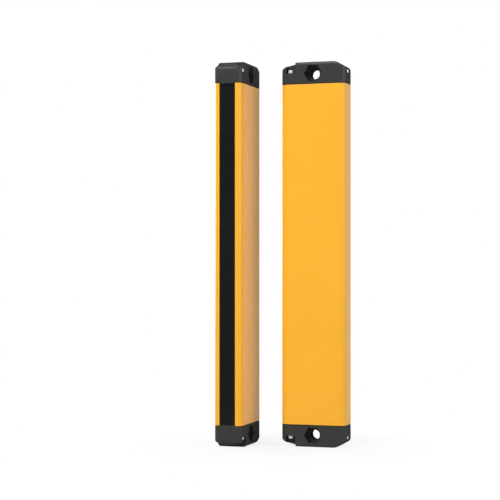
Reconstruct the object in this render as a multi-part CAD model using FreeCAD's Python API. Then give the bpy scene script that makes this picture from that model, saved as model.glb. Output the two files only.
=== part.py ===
"""Safety light curtain: an emitter bar and a receiver bar, standing on their foot caps.

Each bar is built in its own frame: x across the two flanks, y from the window face (low)
to the back face (high), z up from the foot. place() then stands it in the frame of the
pair, whose origin is the middle of the pair's footprint on the ground.
"""

import FreeCAD, Part
import math
import os

V = FreeCAD.Vector
Z_UP = V(0, 0, 1)

# The bar as a whole
BAR_WIDTH = 24.0
BAR_DEPTH = 55.0
CORNER_RADIUS = 5.7
PROFILE_LENGTH = 281.0
GASKET_THICKNESS = 0.6
GASKET_SETBACK = 0.4
CAP_HEIGHT = 17.7

# How the two bars stand beside each other
BAR_GAP = 25.5
RECEIVER_SETBACK = 12.2

# Extruded profile
WALL = 1.6
WINDOW_OPENING = 13.5
LIP_THICKNESS = 1.2
GROOVE_GRIP = 1.45
GROOVE_DEPTH = 2.4
LEDGE_THICKNESS = 1.0
CAVITY_FRONT_RADIUS = 1.0
PORT_WALL = 1.15
PORT_SLOT = 1.0
PORT_MOUTH = 1.0
RIB_HEIGHT = 1.6
RIB_THICKNESS = 1.2

# Window pane and its seals
PANE_THICKNESS = 1.9
PANE_SIDE_GAP = 0.2
SEAL_THICKNESS = 0.4
SEAL_REVEAL = 0.2

# End caps, measured up from the seam with the profile
WALL_HEIGHT = 9.5
WINDOW_SLOPE = 13.0
BACK_SLOPE = 30.0
BEND_RADIUS = 9.5
NOTCH_END = 12.6
RIM_RADIUS = 2.2
CROSS_HOLE_HEIGHT = 8.2
CROSS_HOLE_RADIUS = 4.2
NUT_FLATS = 13.3
NUT_WEB = 9.8
TONGUE_LENGTH = 3.0
TONGUE_THICKNESS = 1.4
TONGUE_WIDTH = 12.0
TONGUE_GAP = 0.2
TONGUE_ROOT = 0.5
WINDOW_TAB_OVERLAP = 0.4
WINDOW_TAB_GAP = 0.15
CORING_WALL = 1.6
CORING_WIDTH = 15.0
CORING_DEPTH = 11.0

# Cap screws, M2.5 socket head
SCREW_RADIUS = 1.25
SCREW_HEAD_RADIUS = 2.25
SCREW_HEAD_HEIGHT = 2.5
SCREW_LENGTH = 16.0
SCREW_HEAD_SIDES = 12
SCREW_SHANK_SIDES = 6
SCREW_HOLE_SIDES = 8
SCREW_HOLE_GAP = 0.1
SCREW_FRONT = 8.2
SCREW_INSET = 2.6
SCREW_BACK = 2.4
POCKET_FLOOR = 8.8
POCKET_FRONT = 4.4
POCKET_SIDE_DEPTH = 5.9
POCKET_BACK_DEPTH = 5.2
POCKET_BACK_WIDTH = 10.0

# Beams and optics
BEAM_PITCH = 20.0
END_ROOM = 36.0
STRIP_COUNT = 3
CARRIER_FRONT = 11.6
CARRIER_SIDE_GAP = 0.3
CARRIER_WALL = 1.4
CARRIER_BACK_WALL = 1.5
INDICATOR_BLOCK = 14.0
STRIP_THICKNESS = 2.0
STRIP_RIM = 1.0
STRIP_GAP = 0.2
APERTURE_GAP = 0.3

# Circuit board and what is on it
BOARD_TO_BACK = 15.4
BOARD_THICKNESS = 1.6
BOARD_GAP = 0.15
BOARD_END = 6.0
SENDING_DIODE_SIZE = 3.2
SENDING_DIODE_HEIGHT = 2.4
RECEIVING_DIODE_SIZE = 4.6
RECEIVING_DIODE_HEIGHT = 1.8
CHIP_SIZE = 10.0
CHIP_HEIGHT = 1.6
CHIP_START = 150.0
CHIP_PITCH = 24.0
POWER_WIDTH = 15.0
POWER_HEIGHT = 9.0
POWER_LENGTH = 26.0
POWER_START = 60.0
POWER_BEVEL = 1.0
LIGHT_WIDTH = 2.4
LIGHT_HEIGHT = 3.6
LIGHT_PITCH = 4.8
LIGHT_PANE_GAP = 1.0
LIGHT_BORE_GAP = 0.1
EMITTER_LIGHTS = 2
RECEIVER_LIGHTS = 3
EMITTER_CHIPS = 1
RECEIVER_CHIPS = 2

# Flush M8 connector in the foot cap
CONNECTOR_BACK = 13.2
RECESS_RADIUS = 5.3
RECESS_DEPTH = 9.6
RECESS_ROOF = 2.5
NOSE_RADIUS = 4.0
NOSE_BORE = 3.2
NOSE_SETBACK = 1.0
NOSE_GAP = 0.1
FLANGE_FLATS = 9.0
BARREL_SIDES = 8
FLANGE_THICKNESS = 2.0
INSERT_GAP = 0.05
INSERT_SIDES = 16
INSERT_SETBACK = 5.5
PIN_RADIUS = 0.5
PIN_SIDES = 8
PIN_CIRCLE = 1.7
PIN_COUNT = 4
PIN_REACH = 4.3
LEAD_WIDTH = 5.0
LEAD_THICKNESS = 1.0
SOCKET_WIDTH = 9.0
SOCKET_LENGTH = 8.0
SOCKET_START = 9.0
SOCKET_WALL = 1.2

# Places that follow from the sizes above
HALF_WIDTH = BAR_WIDTH / 2
INNER_HALF = HALF_WIDTH - WALL
PANE_FRONT = LIP_THICKNESS + SEAL_THICKNESS
GROOVE_HALF = WINDOW_OPENING / 2 + GROOVE_GRIP
CAVITY_FRONT = LIP_THICKNESS + GROOVE_DEPTH + LEDGE_THICKNESS
PORT_RADIUS = SCREW_RADIUS + SCREW_HOLE_GAP
BOSS_RADIUS = PORT_RADIUS + PORT_WALL
BOARD_BACK = BAR_DEPTH - BOARD_TO_BACK
BOARD_FRONT = BOARD_BACK - BOARD_THICKNESS
RAIL_FRONT = BOARD_FRONT - BOARD_GAP - RIB_THICKNESS
PROFILE_FOOT = CAP_HEIGHT + GASKET_THICKNESS
PROFILE_TOP = PROFILE_FOOT + PROFILE_LENGTH
BEAM_COUNT = int((PROFILE_LENGTH - END_ROOM) / BEAM_PITCH)
BEAM_LENGTH = BEAM_COUNT * BEAM_PITCH
BEAM_START = PROFILE_FOOT + (PROFILE_LENGTH - BEAM_LENGTH) / 2
BEAM_HEIGHTS = [BEAM_START + (n + 0.5) * BEAM_PITCH for n in range(BEAM_COUNT)]
CONNECTOR_DEPTH = BAR_DEPTH - CONNECTOR_BACK

# How far a cutting body runs past the face that it cuts, and how near two places count as one
PAST = 1.0
NEAR = 0.01


def depth(u):
    """y of a plane that lies u behind the window face."""
    return u - BAR_DEPTH / 2


def block(x_low, x_high, u_low, u_high, z_low, z_high):
    corner = V(x_low, depth(u_low), z_low)
    return Part.makeBox(x_high - x_low, u_high - u_low, z_high - z_low, corner)


def rod(x, u, z_low, z_high, radius):
    return Part.makeCylinder(radius, z_high - z_low, V(x, depth(u), z_low), Z_UP)


def rounded_face(x_half, u_low, u_high, radius, z=0.0):
    """Rectangle with four round corners, centred on x, at height z."""
    y_low = depth(u_low)
    y_high = depth(u_high)
    centres = (
        (x_half - radius, y_high - radius, 0),
        (radius - x_half, y_high - radius, 90),
        (radius - x_half, y_low + radius, 180),
        (x_half - radius, y_low + radius, 270),
    )
    arcs = []
    for x, y, start in centres:
        points = []
        for turn in (0, 45, 90):
            angle = math.radians(start + turn)
            points.append(V(x + radius * math.cos(angle), y + radius * math.sin(angle), z))
        arcs.append(Part.Arc(*points).toShape())
    edges = []
    for arc, following in zip(arcs, arcs[1:] + arcs[:1]):
        edges.append(arc)
        edges.append(Part.LineSegment(arc.lastVertex().Point, following.firstVertex().Point).toShape())
    return Part.Face(Part.Wire(edges))


def rounded_block(x_half, u_low, u_high, radius, z_low, z_high):
    face = rounded_face(x_half, u_low, u_high, radius, z_low)
    return face.extrude(V(0, 0, z_high - z_low))


def polygon(sides, reach):
    """Corners of a regular polygon, the first on the first axis, closed."""
    angles = [2 * math.pi * n / sides for n in range(sides + 1)]
    return [(reach * math.cos(angle), reach * math.sin(angle)) for angle in angles]


def prism(x, u, z_low, z_high, sides, reach):
    """Upright many-sided bar, for what repeats and is too small to need a true round."""
    corners = [V(x + a, depth(u) + b, z_low) for a, b in polygon(sides, reach)]
    return Part.Face(Part.makePolygon(corners)).extrude(V(0, 0, z_high - z_low))


def corner_reach(flats):
    """Centre to corner of a hexagon with this width across flats."""
    return flats / math.sqrt(3)


def joined(shapes):
    return shapes[0].multiFuse(shapes[1:]).removeSplitter()


def screw_places():
    """(x, u) of the three cap screws: two beside the window, one at the back."""
    side = HALF_WIDTH - SCREW_INSET
    return [(-side, SCREW_FRONT), (side, SCREW_FRONT), (0.0, BAR_DEPTH - SCREW_BACK)]


# ---------------------------------------------------------------- extruded profile

def profile_section():
    """The profile's cross-section: shell, window groove, screw ports and board rails."""
    outside = rounded_face(HALF_WIDTH, 0, BAR_DEPTH, CORNER_RADIUS)
    cavity = rounded_face(INNER_HALF, CAVITY_FRONT, BAR_DEPTH - WALL, CORNER_RADIUS - WALL)
    cavity_front = rounded_face(INNER_HALF, CAVITY_FRONT, BAR_DEPTH / 2, CAVITY_FRONT_RADIUS)
    section = outside.cut(cavity).cut(cavity_front)

    added = []
    for x, u in screw_places():
        boss = Part.Face(Part.Wire(Part.makeCircle(BOSS_RADIUS, V(x, depth(u), 0))))
        added.append(boss)
    for rib_front in (RAIL_FRONT, BOARD_BACK + BOARD_GAP, CARRIER_FRONT - RIB_THICKNESS):
        for side in (-1, 1):
            near = side * (INNER_HALF - RIB_HEIGHT)
            far = side * (INNER_HALF + WALL / 2)
            corner = V(min(near, far), depth(rib_front), 0)
            added.append(Part.makePlane(abs(far - near), RIB_THICKNESS, corner))
    section = section.multiFuse(added).common(outside)

    holes = []
    groove = V(-GROOVE_HALF, depth(LIP_THICKNESS), 0)
    holes.append(Part.makePlane(2 * GROOVE_HALF, GROOVE_DEPTH, groove))
    opening = V(-WINDOW_OPENING / 2, depth(-PAST), 0)
    holes.append(Part.makePlane(WINDOW_OPENING, CAVITY_FRONT + 2 * PAST, opening))
    reach = BOSS_RADIUS + PORT_MOUTH
    for x, u in screw_places():
        holes.append(Part.Face(Part.Wire(Part.makeCircle(PORT_RADIUS, V(x, depth(u), 0)))))
        if x:
            mouth = V(min(x, x - math.copysign(reach, x)), depth(u - PORT_SLOT / 2), 0)
            holes.append(Part.makePlane(reach, PORT_SLOT, mouth))
        else:
            mouth = V(-PORT_SLOT / 2, depth(u - reach), 0)
            holes.append(Part.makePlane(PORT_SLOT, reach, mouth))
    section = section.cut(holes[0].multiFuse(holes[1:]))
    return section.removeSplitter().Faces[0]


def housing():
    section = profile_section()
    section.translate(V(0, 0, PROFILE_FOOT))
    return section.extrude(V(0, 0, PROFILE_LENGTH))


def window():
    half = GROOVE_HALF - PANE_SIDE_GAP
    return block(-half, half, PANE_FRONT, PANE_FRONT + PANE_THICKNESS, PROFILE_FOOT, PROFILE_TOP)


def window_seals():
    """Two flat strips that press the pane back from the lips, showing as a thin line."""
    strips = []
    inner = WINDOW_OPENING / 2 - SEAL_REVEAL
    for low, high in ((-GROOVE_HALF, -inner), (inner, GROOVE_HALF)):
        strips.append(block(low, high, LIP_THICKNESS, PANE_FRONT, PROFILE_FOOT, PROFILE_TOP))
    return Part.makeCompound(strips)


def cut_corner_block(x_half, u_low, u_high, cut, z_low, z_high):
    """Upright block with its two back corners cut off at 45 degrees."""
    outline = [
        (-x_half, u_low),
        (x_half, u_low),
        (x_half, u_high - cut),
        (x_half - cut, u_high),
        (cut - x_half, u_high),
        (-x_half, u_high - cut),
        (-x_half, u_low),
    ]
    corners = [V(x, depth(u), z_low) for x, u in outline]
    return Part.Face(Part.makePolygon(corners)).extrude(V(0, 0, z_high - z_low))


def gasket(z_low):
    """Flat ring between the profile's end and a cap, cleared for the screws and the window tab."""
    rim = GASKET_SETBACK
    z_high = z_low + GASKET_THICKNESS
    plate = rounded_block(HALF_WIDTH - rim, rim, BAR_DEPTH - rim, CORNER_RADIUS - rim, z_low, z_high)
    corner = CORNER_RADIUS - WALL
    inner = cut_corner_block(INNER_HALF, CAVITY_FRONT, BAR_DEPTH - WALL, corner, z_low, z_high)
    half = WINDOW_OPENING / 2
    tab_slot = block(-half, half, 0, PANE_FRONT, z_low, z_high)
    clear = PORT_RADIUS + SCREW_HOLE_GAP
    reliefs = [block(x - clear, x + clear, u - clear, u + clear, z_low, z_high) for x, u in screw_places()]
    return plate.cut([inner, tab_slot] + reliefs)


# ---------------------------------------------------------------- end caps
# A cap is built with z up from its seam; foot caps are turned over when placed.

def shoulder_arc(slope, place):
    """Round shoulder from an upright face to its slope; place() turns (distance in, up) to a point."""
    points = []
    for share in (0.0, 0.5, 1.0):
        turn = share * math.radians(90 - slope)
        out = CORNER_RADIUS * (1 - math.cos(turn))
        points.append(place(out, WALL_HEIGHT + CORNER_RADIUS * math.sin(turn)))
    return points


def top_line(x, slope_foot):
    """Top of a cap behind the notch: level, half-way bend and back slope down to slope_foot."""
    turn = math.radians(BACK_SLOPE)
    corner = slope_foot.y - (CAP_HEIGHT - slope_foot.z) / math.tan(turn)
    cut = BEND_RADIUS * (math.tan(turn / 2) - math.tan(turn / 4))
    level_end = V(x, corner - cut, CAP_HEIGHT)
    slope_start = V(x, corner + cut * math.cos(turn), CAP_HEIGHT - cut * math.sin(turn))
    return [V(x, depth(NOTCH_END), CAP_HEIGHT), level_end, slope_start, slope_foot]


def cap_outline(x):
    """Side view of a cap: shoulder arcs of the window end and the back end, and the top line."""
    front = shoulder_arc(WINDOW_SLOPE, lambda out, up: V(x, depth(out), up))
    back = shoulder_arc(BACK_SLOPE, lambda out, up: V(x, depth(BAR_DEPTH - out), up))
    return front, back, top_line(x, back[2])


def cap_side():
    """A cap's side view, carried across the whole width."""
    x = -HALF_WIDTH
    front, back, top = cap_outline(x)
    rise = (depth(NOTCH_END) - front[2].y) * math.tan(math.radians(WINDOW_SLOPE))
    corners = [front[2], V(x, depth(NOTCH_END), front[2].z + rise)] + top
    foot = [back[0], V(x, depth(BAR_DEPTH), 0), V(x, depth(0), 0), front[0]]
    edges = [Part.Arc(*front).toShape(), Part.Arc(*back).toShape()]
    for line in (corners, foot):
        for start, end in zip(line, line[1:]):
            edges.append(Part.LineSegment(start, end).toShape())
    return Part.Face(Part.Wire(Part.__sortEdges__(edges))).extrude(V(BAR_WIDTH, 0, 0))


def outside_arc(centre, outward, upward, radius):
    """Flat face of what lies outside a quarter round that turns from outward to upward."""
    reach = radius + PAST
    low = centre + outward * radius
    middle = centre + (outward + upward) * (radius * math.sqrt(0.5))
    high = centre + upward * radius
    line = [high, centre + upward * reach, centre + (outward + upward) * reach, centre + outward * reach, low]
    edges = [Part.Arc(low, middle, high).toShape()]
    for start, end in zip(line, line[1:]):
        edges.append(Part.LineSegment(start, end).toShape())
    return Part.Face(Part.Wire(edges))


def rim_waste(side):
    """What the round rim of one flank takes off along the top line, leg by leg, mitred where they meet."""
    top = cap_outline(side * (HALF_WIDTH - RIM_RADIUS))[2]
    top[-1] = top[-2] + (top[-1] - top[-2]) * 2
    waste = []
    for start, end in zip(top, top[1:]):
        along = (end - start).normalize()
        upward = V(0, -along.z, along.y)
        axis = start - along * PAST - upward * RIM_RADIUS
        face = outside_arc(axis, V(side, 0, 0), upward, RIM_RADIUS)
        waste.append(face.extrude(end - start + along * 2 * PAST))
    return waste


def corner_waste(side):
    """What the shoulder takes off diagonally at one corner beside the window."""
    centre = V(side * (HALF_WIDTH - CORNER_RADIUS), depth(CORNER_RADIUS), WALL_HEIGHT)
    outward = V(side, -1, 0).normalize()
    along = V(side, 1, 0).normalize() * CORNER_RADIUS
    face = outside_arc(centre - along, outward, Z_UP, CORNER_RADIUS)
    return face.extrude(along * 2)


def cap_body():
    plan = rounded_block(HALF_WIDTH, 0, BAR_DEPTH, CORNER_RADIUS, 0, CAP_HEIGHT)
    waste = []
    for side in (-1, 1):
        waste.append(corner_waste(side))
        waste.extend(rim_waste(side))
    return plan.common(cap_side()).cut(waste)


def nut_pocket(side):
    """Hexagonal pocket in one flank, corners towards window and back."""
    corners = [V(0, y, z + CROSS_HOLE_HEIGHT) for y, z in polygon(6, corner_reach(NUT_FLATS))]
    face = Part.Face(Part.makePolygon(corners))
    pocket = face.extrude(V(HALF_WIDTH - NUT_WEB / 2 + PAST, 0, 0))
    pocket.translate(V(NUT_WEB / 2, 0, 0))
    if side < 0:
        pocket.rotate(V(0, 0, 0), Z_UP, 180)
    return pocket


def screw_pockets():
    """Pockets open to the flank or back face and to the top, one over each screw."""
    top = CAP_HEIGHT + PAST
    inner = HALF_WIDTH - POCKET_SIDE_DEPTH
    outer = HALF_WIDTH + PAST
    half = POCKET_BACK_WIDTH / 2
    back = BAR_DEPTH - POCKET_BACK_DEPTH
    pockets = [
        block(-outer, -inner, POCKET_FRONT, NOTCH_END, POCKET_FLOOR, top),
        block(inner, outer, POCKET_FRONT, NOTCH_END, POCKET_FLOOR, top),
        block(-half, half, back, BAR_DEPTH + PAST, POCKET_FLOOR, top),
    ]
    reach = PORT_RADIUS / math.cos(math.pi / SCREW_HOLE_SIDES)
    for x, u in screw_places():
        pockets.append(prism(x, u, -PAST, POCKET_FLOOR + PAST, SCREW_HOLE_SIDES, reach))
    return pockets


def tongues():
    """Two tongues that centre the cap in the profile, and a tab over the window's end."""
    outer = INNER_HALF - TONGUE_GAP
    inner = outer - TONGUE_THICKNESS
    middle = BAR_DEPTH / 2
    parts = []
    for low, high in ((-outer, -inner), (inner, outer)):
        u_low = middle - TONGUE_WIDTH / 2
        parts.append(block(low, high, u_low, u_low + TONGUE_WIDTH, -TONGUE_LENGTH, TONGUE_ROOT))
    half = WINDOW_OPENING / 2 - SEAL_REVEAL - WINDOW_TAB_GAP
    tab_back = PANE_FRONT - WINDOW_TAB_GAP
    tab_low = -GASKET_THICKNESS - WINDOW_TAB_OVERLAP
    parts.append(block(-half, half, 0, tab_back, tab_low, TONGUE_ROOT))
    return parts


def coring(u_low, u_high):
    return block(-CORING_WIDTH / 2, CORING_WIDTH / 2, u_low, u_high, -PAST, CORING_DEPTH)


def barrel(z_low, z_high, gap):
    """Eight-sided stem that keeps the connector from turning in its hole."""
    reach = (NOSE_RADIUS + gap) / math.cos(math.pi / BARREL_SIDES)
    return prism(0, CONNECTOR_DEPTH, z_low, z_high, BARREL_SIDES, reach)


def cap(with_connector):
    removed = [nut_pocket(-1), nut_pocket(1)]
    hole = Part.makeCylinder(CROSS_HOLE_RADIUS, BAR_WIDTH, V(-HALF_WIDTH, 0, CROSS_HOLE_HEIGHT), V(1, 0, 0))
    removed.append(hole)
    removed.extend(screw_pockets())
    nut_reach = corner_reach(NUT_FLATS)
    middle = BAR_DEPTH / 2
    removed.append(coring(NOTCH_END + CORING_WALL, middle - nut_reach - CORING_WALL))
    if with_connector:
        u = CONNECTOR_DEPTH
        recess_roof = CAP_HEIGHT - RECESS_DEPTH
        removed.append(rod(0, u, recess_roof, CAP_HEIGHT + PAST, RECESS_RADIUS))
        removed.append(barrel(-PAST, recess_roof + PAST, NOSE_GAP))
    else:
        back = BAR_DEPTH - POCKET_BACK_DEPTH - CORING_WALL
        removed.append(coring(middle + nut_reach + CORING_WALL, back))
    body = cap_body().cut(removed)
    return joined([body] + tongues())


def turned_over(shape):
    """From a cap's own frame to the foot of a bar: the seam's side faces up."""
    shape.rotate(V(0, 0, 0), V(0, 1, 0), 180)
    shape.translate(V(0, 0, CAP_HEIGHT))
    return shape


def raised(shape):
    """From a cap's own frame to the top of a bar."""
    shape.translate(V(0, 0, PROFILE_TOP + GASKET_THICKNESS))
    return shape


def cap_screws():
    """Socket head screws standing in the screw pockets, in a cap's own frame."""
    screws = []
    for x, u in screw_places():
        head_top = POCKET_FLOOR + SCREW_HEAD_HEIGHT
        head = prism(x, u, POCKET_FLOOR, head_top, SCREW_HEAD_SIDES, SCREW_HEAD_RADIUS)
        foot = POCKET_FLOOR - SCREW_LENGTH
        shank = prism(x, u, foot, POCKET_FLOOR, SCREW_SHANK_SIDES, SCREW_RADIUS)
        screws.append(head.fuse(shank))
    return Part.makeCompound(screws)


# ---------------------------------------------------------------- optics

def lights(count):
    """(x, z) of the indicator light guides, in a row across the carrier's upper end."""
    middle = (count - 1) / 2
    z = BEAM_START + BEAM_LENGTH + INDICATOR_BLOCK / 2
    return [((n - middle) * LIGHT_PITCH, z) for n in range(count)]


def bored(x, z, u_low, u_high, width, height):
    """Straight square-edged bar along the depth, centred on (x, z)."""
    return block(x - width / 2, x + width / 2, u_low, u_high, z - height / 2, z + height / 2)


def optics_carrier(light_count, diode_size):
    """Box with one blackened cell behind each lens and a solid block for the light guides."""
    half = INNER_HALF - CARRIER_SIDE_GAP
    z_low = BEAM_START
    beam_top = z_low + BEAM_LENGTH
    body = block(-half, half, CARRIER_FRONT, RAIL_FRONT, z_low, beam_top + INDICATOR_BLOCK)
    cell_half = half - CARRIER_WALL - STRIP_RIM
    ledge = half - CARRIER_WALL
    strip_back = CARRIER_FRONT + STRIP_THICKNESS
    removed = [block(-ledge, ledge, CARRIER_FRONT - PAST, strip_back, z_low + CARRIER_WALL / 2, beam_top)]
    cell_back = RAIL_FRONT - CARRIER_BACK_WALL
    cell_reach = (BEAM_PITCH - CARRIER_WALL) / 2
    aperture = diode_size + 2 * APERTURE_GAP
    for z in BEAM_HEIGHTS:
        removed.append(bored(0, z, CARRIER_FRONT, cell_back, 2 * cell_half, 2 * cell_reach))
        removed.append(bored(0, z, cell_back - PAST, RAIL_FRONT + PAST, aperture, aperture))
    width = LIGHT_WIDTH + 2 * LIGHT_BORE_GAP
    height = LIGHT_HEIGHT + 2 * LIGHT_BORE_GAP
    for x, z in lights(light_count):
        removed.append(bored(x, z, CARRIER_FRONT - PAST, RAIL_FRONT + PAST, width, height))
    return body.cut(removed)


def lens_strip(number):
    """One flat moulded strip of Fresnel lenses, its share of the row, sunk in the carrier's front."""
    first = number * BEAM_COUNT // STRIP_COUNT
    last = (number + 1) * BEAM_COUNT // STRIP_COUNT
    heights = BEAM_HEIGHTS[first:last]
    half = INNER_HALF - CARRIER_SIDE_GAP - CARRIER_WALL - STRIP_GAP
    z_low = heights[0] - BEAM_PITCH / 2 + STRIP_GAP
    z_high = heights[-1] + BEAM_PITCH / 2 - STRIP_GAP
    if number == 0:
        z_low += CARRIER_WALL / 2
    return block(-half, half, CARRIER_FRONT, CARRIER_FRONT + STRIP_THICKNESS, z_low, z_high)


# ---------------------------------------------------------------- electronics

def circuit_board():
    half = INNER_HALF - TONGUE_GAP
    return block(-half, half, BOARD_FRONT, BOARD_BACK, PROFILE_FOOT + BOARD_END, PROFILE_TOP - BOARD_END)


def diode_row(size, height):
    """Square diodes on the front of the board, one behind each lens."""
    front = BOARD_FRONT - height
    return Part.makeCompound([bored(0, z, front, BOARD_FRONT, size, size) for z in BEAM_HEIGHTS])


def control_chips(count):
    half = CHIP_SIZE / 2
    chips = []
    for n in range(count):
        z = PROFILE_FOOT + CHIP_START + n * CHIP_PITCH
        chips.append(block(-half, half, BOARD_BACK, BOARD_BACK + CHIP_HEIGHT, z - half, z + half))
    return Part.makeCompound(chips)


def power_module():
    half = POWER_WIDTH / 2
    back = BOARD_BACK + POWER_HEIGHT
    z_low = PROFILE_FOOT + POWER_START
    body = block(-half, half, BOARD_BACK, back, z_low, z_low + POWER_LENGTH)
    outer = [edge for edge in body.Edges if edge.BoundBox.YMin > depth(back) - NEAR]
    return body.makeChamfer(POWER_BEVEL, outer)


def status_lights(count):
    """Clear light guides from the board to just behind the window."""
    front = PANE_FRONT + PANE_THICKNESS + LIGHT_PANE_GAP
    guides = [bored(x, z, front, BOARD_FRONT, LIGHT_WIDTH, LIGHT_HEIGHT) for x, z in lights(count)]
    return Part.makeCompound(guides)


# ---------------------------------------------------------------- connector, in a cap's own frame

RECESS_CEILING = CAP_HEIGHT - RECESS_DEPTH
BARREL_END = RECESS_CEILING - RECESS_ROOF
INSERT_FACE = CAP_HEIGHT - NOSE_SETBACK - INSERT_SETBACK


def connector_shell():
    """Round nose, a hexagonal flange on the recess's ceiling and a flatted stem through it."""
    nose = rod(0, CONNECTOR_DEPTH, RECESS_CEILING, CAP_HEIGHT - NOSE_SETBACK, NOSE_RADIUS)
    flange_top = RECESS_CEILING + FLANGE_THICKNESS
    flange = prism(0, CONNECTOR_DEPTH, RECESS_CEILING, flange_top, 6, corner_reach(FLANGE_FLATS))
    bore = rod(0, CONNECTOR_DEPTH, BARREL_END, CAP_HEIGHT, NOSE_BORE)
    stem = barrel(BARREL_END, RECESS_CEILING, 0)
    return joined([nose, flange, stem]).cut(bore)


def connector_insert():
    reach = NOSE_BORE - INSERT_GAP
    return prism(0, CONNECTOR_DEPTH, BARREL_END, INSERT_FACE, INSERT_SIDES, reach)


def connector_pins():
    """Contact pins standing on the insert's face."""
    pins = []
    for n in range(PIN_COUNT):
        angle = 2 * math.pi * (n + 0.5) / PIN_COUNT
        x = PIN_CIRCLE * math.cos(angle)
        u = CONNECTOR_DEPTH + PIN_CIRCLE * math.sin(angle)
        pins.append(prism(x, u, INSERT_FACE, INSERT_FACE + PIN_REACH, PIN_SIDES, PIN_RADIUS))
    return Part.makeCompound(pins)


# ---------------------------------------------------------------- lead, in the bar's own frame

def board_socket():
    """Header on the back of the board, its mouth over the lead."""
    half = SOCKET_WIDTH / 2
    z_low = PROFILE_FOOT + SOCKET_START
    back = CONNECTOR_DEPTH + LEAD_THICKNESS / 2 + SOCKET_WALL
    return block(-half, half, BOARD_BACK, back, z_low, z_low + SOCKET_LENGTH)


def inner_lead():
    """Flat ribbon of cores from the connector's insert up to the board's socket."""
    half = LEAD_WIDTH / 2
    u_low = CONNECTOR_DEPTH - LEAD_THICKNESS / 2
    z_high = PROFILE_FOOT + SOCKET_START
    return block(-half, half, u_low, u_low + LEAD_THICKNESS, CAP_HEIGHT - BARREL_END, z_high)


# ---------------------------------------------------------------- the two bars

def bar_pieces(diode_size, diode_height, light_count, chip_count):
    """Every piece of one bar, by name, in the bar's own frame."""
    pieces = {
        "housing": housing(),
        "window": window(),
        "window_seals": window_seals(),
        "bottom_gasket": gasket(CAP_HEIGHT),
        "top_gasket": gasket(PROFILE_TOP),
        "bottom_cap": turned_over(cap(True)),
        "top_cap": raised(cap(False)),
        "bottom_cap_screws": turned_over(cap_screws()),
        "top_cap_screws": raised(cap_screws()),
        "optics_carrier": optics_carrier(light_count, diode_size),
        "circuit_board": circuit_board(),
        "diodes": diode_row(diode_size, diode_height),
        "control_chips": control_chips(chip_count),
        "power_module": power_module(),
        "status_lights": status_lights(light_count),
        "board_socket": board_socket(),
        "inner_lead": inner_lead(),
        "connector_shell": turned_over(connector_shell()),
        "connector_insert": turned_over(connector_insert()),
        "connector_pins": turned_over(connector_pins()),
    }
    for number, name in enumerate(("lower", "middle", "upper")):
        pieces["lens_strip_" + name] = lens_strip(number)
    return pieces


PAIR_WIDTH = BAR_WIDTH + BAR_GAP + BAR_DEPTH
EMITTER_X = HALF_WIDTH - PAIR_WIDTH / 2
RECEIVER_X = PAIR_WIDTH / 2 - BAR_DEPTH / 2


def place(shape, x, y, turn):
    shape.rotate(V(0, 0, 0), Z_UP, turn)
    shape.translate(V(x, y, 0))
    return shape


def main():
    os.makedirs("parts", exist_ok=True)
    emitter = bar_pieces(SENDING_DIODE_SIZE, SENDING_DIODE_HEIGHT, EMITTER_LIGHTS, EMITTER_CHIPS)
    receiver = bar_pieces(RECEIVING_DIODE_SIZE, RECEIVING_DIODE_HEIGHT, RECEIVER_LIGHTS, RECEIVER_CHIPS)
    for name, shape in emitter.items():
        place(shape, EMITTER_X, 0, 0).exportStep("parts/emitter_" + name + ".step")
    for name, shape in receiver.items():
        placed = place(shape, RECEIVER_X, RECEIVER_SETBACK, -90)
        placed.exportStep("parts/receiver_" + name + ".step")


main()
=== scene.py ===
import math

import bmesh
import bpy
from mathutils import Matrix, Vector


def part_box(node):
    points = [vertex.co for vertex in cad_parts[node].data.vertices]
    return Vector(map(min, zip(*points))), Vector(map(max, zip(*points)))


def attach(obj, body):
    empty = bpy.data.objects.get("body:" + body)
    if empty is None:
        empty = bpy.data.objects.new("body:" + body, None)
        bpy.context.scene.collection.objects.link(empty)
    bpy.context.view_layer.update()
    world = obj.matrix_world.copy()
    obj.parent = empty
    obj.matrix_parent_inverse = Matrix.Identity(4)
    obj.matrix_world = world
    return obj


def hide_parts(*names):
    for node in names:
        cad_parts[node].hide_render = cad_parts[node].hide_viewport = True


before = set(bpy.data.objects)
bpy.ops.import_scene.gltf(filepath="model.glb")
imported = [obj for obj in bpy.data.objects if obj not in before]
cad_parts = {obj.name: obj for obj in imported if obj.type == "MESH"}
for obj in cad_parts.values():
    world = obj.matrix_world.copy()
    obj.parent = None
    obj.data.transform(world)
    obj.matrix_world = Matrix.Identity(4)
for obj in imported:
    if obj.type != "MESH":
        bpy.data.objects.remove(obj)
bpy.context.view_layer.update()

# ---------------------------------------------------------------- the viewpoint
# A level camera in front of the pair and to its right, at half its height, with a long
# lens, so the emitter shows its window and one flank and the receiver one flank and its back.
EYE_PLACE = (0.35393, -1.19189, 0.15047)
EYE_LEVEL = 90.0
EYE_TURN = 17.827
FILM_WIDTH = 36.0
LENS_LENGTH = 108.05
LENS_RISE = 0.02902

eye = bpy.data.cameras.new("eye")
eye.sensor_width = FILM_WIDTH
eye.lens = LENS_LENGTH
eye.shift_y = LENS_RISE
camera = bpy.data.objects.new("camera", eye)
camera.location = EYE_PLACE
camera.rotation_euler = (math.radians(EYE_LEVEL), 0.0, math.radians(EYE_TURN))
bpy.context.scene.collection.objects.link(camera)
bpy.context.scene.camera = camera

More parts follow.
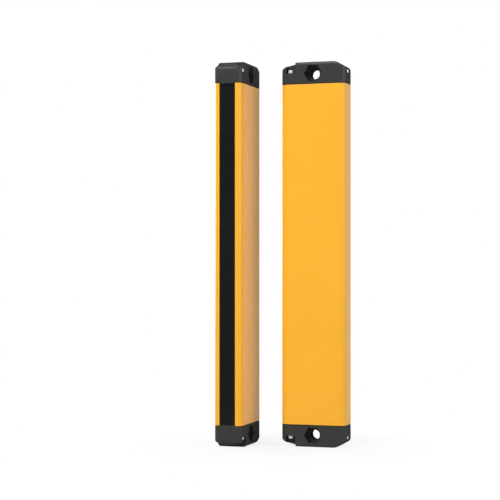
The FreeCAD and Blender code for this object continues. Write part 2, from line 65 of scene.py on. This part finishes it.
# ---------------------------------------------------------------- the profiles
# Each bar's body is one extruded aluminium profile, cut to length and powder coated
# yellow. The coat has the fine orange peel of cured powder and rounds its sharp edges.
MM = 0.001
BAR_TURNS = {"emitter": 0.0, "receiver": -90.0}
COAT_ROUND = 0.25 * MM
ROUND_STEPS = 2
CREASE = math.radians(32.0)
COPLANAR = math.radians(0.5)
SAME_PLACE = 0.002 * MM
NOISE_LOW = 0.3
NOISE_HIGH = 0.7
SHADE_DETAIL = 3.0
GRAIN_DETAIL = 2.0
SHEEN_FINER = 4


def card(red, green, blue):
    """A colour as a paint card gives it, 0 to 255 in sRGB, in the shader's linear values."""
    linear = []
    for level in (red, green, blue):
        share = level / 255
        linear.append(share / 12.92 if share <= 0.04045 else ((share + 0.055) / 1.055) ** 2.4)
    return (*linear, 1.0)


def finish(name, pale, deep, mottle, rough, grain, depth, metallic=0.0):
    """A finish that drifts between two shades in patches as large as mottle, changes its
    roughness in smaller patches, and has a surface grain of that size and depth."""
    made = bpy.data.materials.new(name)
    made.use_nodes = True
    nodes = made.node_tree.nodes
    join = made.node_tree.links.new
    shader = nodes["Principled BSDF"]
    shader.inputs["Metallic"].default_value = metallic
    place = nodes.new("ShaderNodeTexCoord").outputs["Object"]

    patches = nodes.new("ShaderNodeTexNoise")
    patches.inputs["Scale"].default_value = 1 / mottle
    patches.inputs["Detail"].default_value = SHADE_DETAIL
    shades = nodes.new("ShaderNodeValToRGB")
    shades.color_ramp.elements[0].position = NOISE_LOW
    shades.color_ramp.elements[0].color = deep
    shades.color_ramp.elements[1].position = NOISE_HIGH
    shades.color_ramp.elements[1].color = pale
    join(place, patches.inputs["Vector"])
    join(patches.outputs["Fac"], shades.inputs["Fac"])
    join(shades.outputs["Color"], shader.inputs["Base Color"])

    sheen = nodes.new("ShaderNodeTexNoise")
    sheen.inputs["Scale"].default_value = SHEEN_FINER / mottle
    spread = nodes.new("ShaderNodeMapRange")
    spread.inputs["From Min"].default_value = NOISE_LOW
    spread.inputs["From Max"].default_value = NOISE_HIGH
    spread.inputs["To Min"].default_value = rough[0]
    spread.inputs["To Max"].default_value = rough[1]
    join(place, sheen.inputs["Vector"])
    join(sheen.outputs["Fac"], spread.inputs["Value"])
    join(spread.outputs["Result"], shader.inputs["Roughness"])

    skin = nodes.new("ShaderNodeTexNoise")
    skin.inputs["Scale"].default_value = 1 / grain
    skin.inputs["Detail"].default_value = GRAIN_DETAIL
    relief = nodes.new("ShaderNodeBump")
    relief.inputs["Distance"].default_value = depth
    join(place, skin.inputs["Vector"])
    join(skin.outputs["Fac"], relief.inputs["Height"])
    join(relief.outputs["Normal"], shader.inputs["Normal"])
    return made


def merged(node):
    """A copy of a frame part's mesh with its loose triangles joined into whole faces."""
    shape = bmesh.new()
    shape.from_mesh(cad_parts[node].data)
    bmesh.ops.remove_doubles(shape, verts=shape.verts, dist=SAME_PLACE)
    bmesh.ops.dissolve_limit(shape, angle_limit=COPLANAR, verts=shape.verts, edges=shape.edges)
    return shape


def creases(shape):
    """The edges where two faces meet at more than a slight angle."""
    return [edge for edge in shape.edges if edge.is_manifold and edge.calc_face_angle() > CREASE]


def soften(shape, width):
    """Rounds every crease to that width."""
    bmesh.ops.bevel(
        shape, geom=creases(shape), offset=width, offset_type="OFFSET", segments=ROUND_STEPS,
        profile=0.5, affect="EDGES", clamp_overlap=True, material=-1,
    )


def settle(shape, name, coat, stands_for):
    """Makes the piece, smooth over its rounds and crisp on its flats, and hangs it on the frame."""
    for face in shape.faces:
        face.smooth = True
    for edge in creases(shape):
        edge.smooth = False
    mesh = bpy.data.meshes.new(name)
    shape.to_mesh(mesh)
    shape.free()
    piece = bpy.data.objects.new(name, mesh)
    bpy.context.scene.collection.objects.link(piece)
    mesh.materials.append(coat)
    flats = piece.modifiers.new("flats stay flat", "WEIGHTED_NORMAL")
    flats.keep_sharp = True
    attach(piece, "root")
    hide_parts(*stands_for)
    return piece


coat = finish(
    "yellow powder coat", pale=card(253, 184, 46), deep=card(249, 180, 42),
    mottle=60 * MM, rough=(0.30, 0.38), grain=0.9 * MM, depth=0.032 * MM,
)
for bar in BAR_TURNS:
    profile = merged(bar + "_housing")
    soften(profile, COAT_ROUND)
    settle(profile, bar + "_profile", coat, [bar + "_housing"])


# ---------------------------------------------------------------- windows and their seals
# A strip of smoked acrylic slides into the groove of each profile. It lets the infrared
# beams through and looks black. Two rubber strips press it back from the groove's lips.
def coat_node(name, made):
    """Puts a finish on a part of the frame that is shown as it is."""
    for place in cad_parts[name].material_slots:
        place.material = made


smoked = finish(
    "smoked acrylic", pale=card(25, 25, 26), deep=card(22, 22, 24),
    mottle=90 * MM, rough=(0.10, 0.16), grain=8 * MM, depth=0.004 * MM,
)
seal_rubber = finish(
    "black rubber", pale=card(24, 22, 21), deep=card(18, 17, 17),
    mottle=12 * MM, rough=(0.60, 0.75), grain=0.4 * MM, depth=0.010 * MM,
)
for bar in BAR_TURNS:
    coat_node(bar + "_window", smoked)
    coat_node(bar + "_window_seals", seal_rubber)

# ---------------------------------------------------------------- gaskets
# A flat rubber ring seals each end of a profile. It is set back a little from the
# outside, so it shows as a dark line between the yellow coat and the black cap.
ENDS = ("top", "bottom")

for bar in BAR_TURNS:
    for end in ENDS:
        coat_node(f"{bar}_{end}_gasket", seal_rubber)

# ---------------------------------------------------------------- end caps
# The caps are moulded in glass-filled black nylon with a fine spark-eroded skin. The
# mould rounds every edge a little; both flanks hold a hexagonal pocket for the mounting nut.
MOULD_ROUND = 0.3 * MM
MOULD_GLOSS = 0.23
SLANT_START = 0.25
SLANT_FULL = 0.6
SLANT_ROUGHER = 0.65

moulding = finish(
    "black moulded nylon", pale=card(60, 60, 60), deep=card(57, 57, 57),
    mottle=7 * MM, rough=(0.30, 0.38), grain=0.45 * MM, depth=0.022 * MM,
)
moulding.node_tree.nodes["Principled BSDF"].inputs["Specular IOR Level"].default_value = MOULD_GLOSS


def matt_from_the_side(made):
    """Adds to a finish's roughness where the surface is seen from a low angle, as the peaks of
    an eroded skin hide its hollows."""
    nodes = made.node_tree.nodes
    join = made.node_tree.links.new
    rough = nodes["Principled BSDF"].inputs["Roughness"]
    facing = nodes.new("ShaderNodeLayerWeight")
    grow = nodes.new("ShaderNodeMapRange")
    grow.inputs["From Min"].default_value = SLANT_START
    grow.inputs["From Max"].default_value = SLANT_FULL
    grow.inputs["To Max"].default_value = SLANT_ROUGHER
    total = nodes.new("ShaderNodeMath")
    total.use_clamp = True
    join(rough.links[0].from_socket, total.inputs[0])
    join(facing.outputs["Facing"], grow.inputs["Value"])
    join(grow.outputs["Result"], total.inputs[1])
    join(total.outputs[0], rough)


matt_from_the_side(moulding)
for bar in BAR_TURNS:
    for end in ENDS:
        cap = merged(f"{bar}_{end}_cap")
        soften(cap, MOULD_ROUND)
        settle(cap, f"{bar}_{end}_moulding", moulding, [f"{bar}_{end}_cap"])

# ---------------------------------------------------------------- cap screws
# Three M2.5 socket head screws hold each cap, driven from the pockets into the
# profile's screw ports. They are cold headed steel, zinc plated, with a knurled head.
HEAD_RADIUS = 2.2 * MM
HEAD_HEIGHT = 2.5 * MM
HEAD_SHOULDER = 0.35 * MM
HEAD_CORNER = (0.1 * MM, 0.15 * MM)
HEAD_RIM = 0.3 * MM
SHANK_RADIUS = 1.2 * MM
SHANK_LENGTH = 16.0 * MM
TIP_RADIUS = 0.84 * MM
TIP_HEIGHT = 0.4 * MM
KNURLS = 36
KNURL_SHARE = 0.965
ON_THE_SIDE = 0.99 * HEAD_RADIUS
SOCKET_MOUTH = 0.66 * HEAD_RADIUS
SOCKET_SIDES = 6
SOCKET_FLATS = 2.0 * MM
SOCKET_DEPTH = 1.1 * MM
PLAIN_HEAD_RADIUS = 2.25 * MM


def lathe(shape, outline, steps):
    """Turns an outline of (radius, height) round the upright axis."""
    line = [shape.verts.new((radius, 0.0, height)) for radius, height in outline]
    edges = [shape.edges.new(pair) for pair in zip(line, line[1:])]
    bmesh.ops.spin(
        shape, geom=line + edges, cent=(0, 0, 0), axis=(0, 0, 1),
        angle=2 * math.pi, steps=steps, use_merge=True, use_duplicate=False,
    )
    bmesh.ops.remove_doubles(shape, verts=shape.verts, dist=SAME_PLACE)


def socket_screw():
    """One screw, its head standing on the origin and its shank going down."""
    shape = bmesh.new()
    outline = [
        (TIP_RADIUS, -SHANK_LENGTH),
        (SHANK_RADIUS, TIP_HEIGHT - SHANK_LENGTH),
        (SHANK_RADIUS, 0.0),
        (HEAD_RADIUS, 0.0),
        (HEAD_RADIUS, HEAD_HEIGHT - HEAD_SHOULDER),
        (HEAD_RADIUS - HEAD_CORNER[0], HEAD_HEIGHT - HEAD_CORNER[1]),
        (HEAD_RADIUS - HEAD_RIM, HEAD_HEIGHT),
        (SOCKET_MOUTH, HEAD_HEIGHT),
    ]
    lathe(shape, outline, 2 * KNURLS)
    for corner in shape.verts:
        reach = corner.co.xy.length
        step = round(math.atan2(corner.co.y, corner.co.x) / math.pi * KNURLS)
        if reach > ON_THE_SIDE and step % 2:
            corner.co.xy *= KNURL_SHARE

    across = SOCKET_FLATS / math.cos(math.pi / SOCKET_SIDES)
    socket = bmesh.ops.create_circle(shape, segments=SOCKET_SIDES, radius=across / 2)
    bmesh.ops.translate(shape, verts=socket["verts"], vec=(0, 0, HEAD_HEIGHT))
    sides = list({edge for corner in socket["verts"] for edge in corner.link_edges})
    bmesh.ops.subdivide_edges(shape, edges=sides, cuts=2 * KNURLS // SOCKET_SIDES - 1)
    rim = [edge for edge in shape.edges if edge.is_boundary or edge.is_wire]
    top = []
    for edge in rim:
        if all(abs(corner.co.z - HEAD_HEIGHT) < SAME_PLACE for corner in edge.verts):
            top.append(edge)
    bmesh.ops.bridge_loops(shape, edges=top)
    lip = [edge for edge in shape.edges if edge.is_boundary]
    lip = [edge for edge in lip if edge.verts[0].co.z > 0]
    walls = bmesh.ops.extrude_edge_only(shape, edges=lip)
    deep = [item for item in walls["geom"] if isinstance(item, bmesh.types.BMVert)]
    bmesh.ops.translate(shape, verts=deep, vec=(0, 0, -SOCKET_DEPTH))
    bmesh.ops.holes_fill(shape, edges=[edge for edge in shape.edges if edge.is_boundary])
    bmesh.ops.recalc_face_normals(shape, faces=shape.faces)
    made = bpy.data.meshes.new("socket screw")
    shape.to_mesh(made)
    shape.free()
    return made


def standing(bar):
    """Takes a bar's own frame, x across its flanks and y from its window back, to the pair's."""
    low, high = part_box(bar + "_housing")
    middle = (low + high) / 2
    turn = Matrix.Rotation(math.radians(BAR_TURNS[bar]), 4, "Z")
    return Matrix.Translation((middle.x, middle.y, 0.0)) @ turn


def add_copy(shape, mesh, place):
    """Adds a mesh to a shape at that place."""
    before = set(shape.verts)
    shape.from_mesh(mesh)
    added = [corner for corner in shape.verts if corner not in before]
    bmesh.ops.transform(shape, matrix=place, verts=added)


zinc = finish(
    "bright zinc plate", pale=card(240, 240, 240), deep=card(228, 228, 228),
    mottle=1.5 * MM, rough=(0.38, 0.50), grain=0.15 * MM, depth=0.003 * MM, metallic=0.6,
)
screw = socket_screw()
# The emitter stands unturned at y 0, so its screws give the places in any bar's own frame.
low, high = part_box("emitter_top_cap_screws")
side = (high.x - low.x) / 2 - PLAIN_HEAD_RADIUS
front = low.y + PLAIN_HEAD_RADIUS
back = high.y - PLAIN_HEAD_RADIUS
screw_places = [(-side, front), (side, front), (0.0, back)]
for bar in BAR_TURNS:
    for end in ENDS:
        low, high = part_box(f"{bar}_{end}_cap_screws")
        screws = bmesh.new()
        for x, y in screw_places:
            if end == "top":
                seat = Matrix.Translation((x, y, high.z - HEAD_HEIGHT))
            else:
                seat = Matrix.Translation((x, y, low.z + HEAD_HEIGHT))
                seat = seat @ Matrix.Rotation(math.pi, 4, "X")
            add_copy(screws, screw, standing(bar) @ seat)
        settle(screws, f"{bar}_{end}_screws", zinc, [f"{bar}_{end}_cap_screws"])

# ---------------------------------------------------------------- optics
# Behind the window a black moulded carrier holds a strip of clear lenses in front of a
# blackened tunnel for each diode, and the clear guides of the status lights.
ACRYLIC_IOR = 1.49

tunnel_black = finish(
    "blackened moulding", pale=card(30, 30, 31), deep=card(24, 24, 25),
    mottle=9 * MM, rough=(0.65, 0.8), grain=0.5 * MM, depth=0.012 * MM,
)
clear = finish(
    "clear acrylic", pale=card(236, 240, 242), deep=card(228, 234, 238),
    mottle=20 * MM, rough=(0.03, 0.06), grain=3 * MM, depth=0.002 * MM,
)
clear.node_tree.nodes["Principled BSDF"].inputs["Transmission Weight"].default_value = 1.0
clear.node_tree.nodes["Principled BSDF"].inputs["IOR"].default_value = ACRYLIC_IOR
for bar in BAR_TURNS:
    coat_node(bar + "_optics_carrier", tunnel_black)
    for strip in ("lower", "middle", "upper"):
        coat_node(f"{bar}_lens_strip_{strip}", clear)
    coat_node(bar + "_status_lights", clear)

# ---------------------------------------------------------------- electronics
# One long printed board slides in the profile's rails. It carries the diodes, the
# control chips, a potted power module and the socket of the lead from the connector.
board_green = finish(
    "solder mask", pale=card(20, 92, 58), deep=card(15, 80, 50),
    mottle=6 * MM, rough=(0.35, 0.5), grain=0.8 * MM, depth=0.010 * MM,
)
epoxy = finish(
    "diode epoxy", pale=card(58, 46, 70), deep=card(46, 36, 58),
    mottle=1.5 * MM, rough=(0.12, 0.2), grain=0.6 * MM, depth=0.004 * MM,
)
chip_body = finish(
    "chip body", pale=card(36, 36, 38), deep=card(30, 30, 32),
    mottle=3 * MM, rough=(0.55, 0.7), grain=0.2 * MM, depth=0.006 * MM,
)
potting = finish(
    "potted case", pale=card(40, 40, 42), deep=card(34, 34, 35),
    mottle=5 * MM, rough=(0.4, 0.55), grain=0.6 * MM, depth=0.010 * MM,
)
header = finish(
    "white header", pale=card(232, 230, 220), deep=card(222, 219, 207),
    mottle=4 * MM, rough=(0.35, 0.5), grain=0.5 * MM, depth=0.008 * MM,
)
ribbon = finish(
    "grey ribbon lead", pale=card(146, 148, 152), deep=card(130, 132, 136),
    mottle=3 * MM, rough=(0.4, 0.55), grain=0.6 * MM, depth=0.020 * MM,
)
for bar in BAR_TURNS:
    coat_node(bar + "_circuit_board", board_green)
    coat_node(bar + "_diodes", epoxy)
    coat_node(bar + "_control_chips", chip_body)
    coat_node(bar + "_power_module", potting)
    coat_node(bar + "_board_socket", header)
    coat_node(bar + "_inner_lead", ribbon)

# ---------------------------------------------------------------- connectors
# A flush M8 connector sits in a recess under each foot cap: a turned brass shell, nickel
# plated, with a black insert pressed into it and four gilt pins standing on the insert.
nickel = finish(
    "nickel plated brass", pale=card(206, 202, 192), deep=card(190, 186, 176),
    mottle=2 * MM, rough=(0.2, 0.32), grain=0.3 * MM, depth=0.003 * MM, metallic=1.0,
)
insert_black = finish(
    "black insert", pale=card(34, 34, 35), deep=card(28, 28, 29),
    mottle=2 * MM, rough=(0.4, 0.55), grain=0.3 * MM, depth=0.004 * MM,
)
gilt = finish(
    "gilt pins", pale=card(232, 190, 96), deep=card(222, 176, 80),
    mottle=1 * MM, rough=(0.15, 0.25), grain=0.2 * MM, depth=0.001 * MM, metallic=1.0,
)
PIN_RADIUS = 0.46 * MM
PIN_TIP = 0.35 * MM
PIN_NOSE = ((0.45, 0.1), (0.85, 0.5), (1.0, 1.0))
PIN_STEPS = 24
INSERT_EDGE = 0.2 * MM
INSERT_STEPS = 48


def turned(outline, steps):
    """A closed shape turned from an outline that runs from the axis back to the axis."""
    shape = bmesh.new()
    lathe(shape, outline, steps)
    bmesh.ops.recalc_face_normals(shape, faces=shape.faces)
    made = bpy.data.meshes.new("turned shape")
    shape.to_mesh(made)
    shape.free()
    return made


for bar in BAR_TURNS:
    coat_node(bar + "_connector_shell", nickel)

    low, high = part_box(bar + "_connector_pins")
    length = high.z - low.z
    nose = [(wide * PIN_RADIUS, up * PIN_TIP) for wide, up in PIN_NOSE]
    pin = turned([(0.0, 0.0), *nose, (PIN_RADIUS, length), (0.0, length)], PIN_STEPS)
    pins = bmesh.new()
    for x in (low.x + PIN_RADIUS, high.x - PIN_RADIUS):
        for y in (low.y + PIN_RADIUS, high.y - PIN_RADIUS):
            add_copy(pins, pin, Matrix.Translation((x, y, low.z)))
    settle(pins, bar + "_pins", gilt, [bar + "_connector_pins"])

    low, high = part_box(bar + "_connector_insert")
    reach = min(high.x - low.x, high.y - low.y) / 2
    thickness = high.z - low.z
    disc = turned([
        (0.0, 0.0),
        (reach - INSERT_EDGE, 0.0),
        (reach, INSERT_EDGE),
        (reach, thickness),
        (0.0, thickness),
    ], INSERT_STEPS)
    insert = bmesh.new()
    middle = (low + high) / 2
    add_copy(insert, disc, Matrix.Translation((middle.x, middle.y, low.z)))
    settle(insert, bar + "_insert", insert_black, [bar + "_connector_insert"])

# ---------------------------------------------------------------- ground and light
# A round sweep of white paper in a white room, with a soft key light high in front, a
# weaker one at the right, one behind at the left, and a faint even surround. Gloss sees
# the room darken from behind the pair to its front.
GROUND_REACH = 12.0
GROUND_STEPS = 64
GROUND_GAP = 0.05 * MM
GROUND_NEAR = -0.3
GROUND_FAR = 0.3
PAPER = 0.78
SHADOW_REACH = 0.13
SHADOW_SHARE = 0.2
FRONT_GLOSS = 0.1
BACK_GLOSS = 0.8


def looking(nodes, join):
    """1 on the rays that look straight at this surface, or see it in gloss or glass."""
    path = nodes.new("ShaderNodeLightPath")
    total = path.outputs["Is Camera Ray"]
    for kind in ("Is Glossy Ray", "Is Transmission Ray"):
        add = nodes.new("ShaderNodeMath")
        add.operation = "ADD"
        add.use_clamp = True
        join(total, add.inputs[0])
        join(path.outputs[kind], add.inputs[1])
        total = add.outputs[0]
    return total


def brightness(nodes, join, depth, near, far):
    """White where the camera looks at it; in gloss and glass it dims from the far depth, behind
    the pair, to the near one in front."""
    dimmed = nodes.new("ShaderNodeMapRange")
    dimmed.inputs["From Min"].default_value = near
    dimmed.inputs["From Max"].default_value = far
    dimmed.inputs["To Min"].default_value = FRONT_GLOSS
    dimmed.inputs["To Max"].default_value = BACK_GLOSS
    brighter = nodes.new("ShaderNodeMath")
    brighter.operation = "MAXIMUM"
    path = nodes.new("ShaderNodeLightPath")
    join(depth, dimmed.inputs["Value"])
    join(dimmed.outputs["Result"], brighter.inputs[0])
    join(path.outputs["Is Camera Ray"], brighter.inputs[1])
    return brighter.outputs[0]


sweep = bpy.data.materials.new("white sweep")
sweep.use_nodes = True
sweep_nodes = sweep.node_tree.nodes
sweep_join = sweep.node_tree.links.new
sweep_nodes.remove(sweep_nodes["Principled BSDF"])
paper = sweep_nodes.new("ShaderNodeBsdfDiffuse")
paper.inputs["Color"].default_value = (PAPER, PAPER, PAPER, 1.0)
glow = sweep_nodes.new("ShaderNodeEmission")
spot = sweep_nodes.new("ShaderNodeTexCoord")
sweep_parts = sweep_nodes.new("ShaderNodeSeparateXYZ")
centred = sweep_nodes.new("ShaderNodeVectorMath")
centred.operation = "LENGTH"
fade = sweep_nodes.new("ShaderNodeMapRange")
fade.inputs["From Max"].default_value = SHADOW_REACH
fade.inputs["To Min"].default_value = 1 - SHADOW_SHARE
fade.inputs["To Max"].default_value = 1.0
share = sweep_nodes.new("ShaderNodeMath")
share.operation = "MULTIPLY"
blend = sweep_nodes.new("ShaderNodeMixShader")
sweep_join(spot.outputs["Object"], sweep_parts.inputs[0])
depth = sweep_parts.outputs["Y"]
glow_depth = brightness(sweep_nodes, sweep_join, depth, GROUND_NEAR, GROUND_FAR)
sweep_join(glow_depth, glow.inputs["Strength"])
sweep_join(spot.outputs["Object"], centred.inputs[0])
sweep_join(centred.outputs["Value"], fade.inputs["Value"])
sweep_join(fade.outputs["Result"], share.inputs[0])
sweep_join(looking(sweep_nodes, sweep_join), share.inputs[1])
sweep_join(share.outputs[0], blend.inputs[0])
sweep_join(paper.outputs[0], blend.inputs[1])
sweep_join(glow.outputs[0], blend.inputs[2])
sweep_join(blend.outputs[0], sweep_nodes["Material Output"].inputs["Surface"])

ground_shape = bmesh.new()
bmesh.ops.create_circle(ground_shape, cap_ends=True, segments=GROUND_STEPS, radius=GROUND_REACH)
bmesh.ops.translate(ground_shape, verts=ground_shape.verts, vec=(0, 0, -GROUND_GAP))
ground_mesh = bpy.data.meshes.new("ground")
ground_shape.to_mesh(ground_mesh)
ground_shape.free()
ground_mesh.materials.append(sweep)
ground = bpy.data.objects.new("ground", ground_mesh)
bpy.context.scene.collection.objects.link(ground)

PAIR_MIDDLE = Vector((0.0, 0.0, 0.16))


def softbox(name, place, size, power):
    """A square area light, turned to the pair, that the camera doesn't see."""
    lamp = bpy.data.lights.new(name, "AREA")
    lamp.shape = "SQUARE"
    lamp.size = size
    lamp.energy = power
    made = bpy.data.objects.new(name, lamp)
    made.location = place
    made.rotation_euler = (PAIR_MIDDLE - Vector(place)).to_track_quat("-Z", "Y").to_euler()
    made.visible_camera = False
    bpy.context.scene.collection.objects.link(made)


softbox("key light", place=(-0.52, -1.62, 1.95), size=1.3, power=52.5)
softbox("side light", place=(2.1, -0.45, 0.95), size=1.8, power=20.0)
softbox("back light", place=(-1.7, 1.1, 0.7), size=1.2, power=20.0)

SURROUND = 0.15
ROOM_NEAR = -0.2
ROOM_FAR = 0.3

room = bpy.data.worlds.new("studio")
room.use_nodes = True
room_nodes = room.node_tree.nodes
room_join = room.node_tree.links.new
wall = room_nodes["Background"]
wall.inputs["Strength"].default_value = SURROUND
wall.inputs["Color"].default_value = (1.0, 1.0, 1.0, 1.0)
backdrop = room_nodes.new("ShaderNodeBackground")
backdrop.inputs["Color"].default_value = (1.0, 1.0, 1.0, 1.0)
way = room_nodes.new("ShaderNodeTexCoord")
parts = room_nodes.new("ShaderNodeSeparateXYZ")
either = room_nodes.new("ShaderNodeMixShader")
room_join(way.outputs["Generated"], parts.inputs[0])
room_depth = brightness(room_nodes, room_join, parts.outputs["Y"], ROOM_NEAR, ROOM_FAR)
room_join(room_depth, backdrop.inputs["Strength"])
room_join(looking(room_nodes, room_join), either.inputs[0])
room_join(wall.outputs[0], either.inputs[1])
room_join(backdrop.outputs[0], either.inputs[2])
room_join(either.outputs[0], room_nodes["World Output"].inputs["Surface"])
bpy.context.scene.world = room
bpy.context.scene.view_settings.view_transform = "Standard"
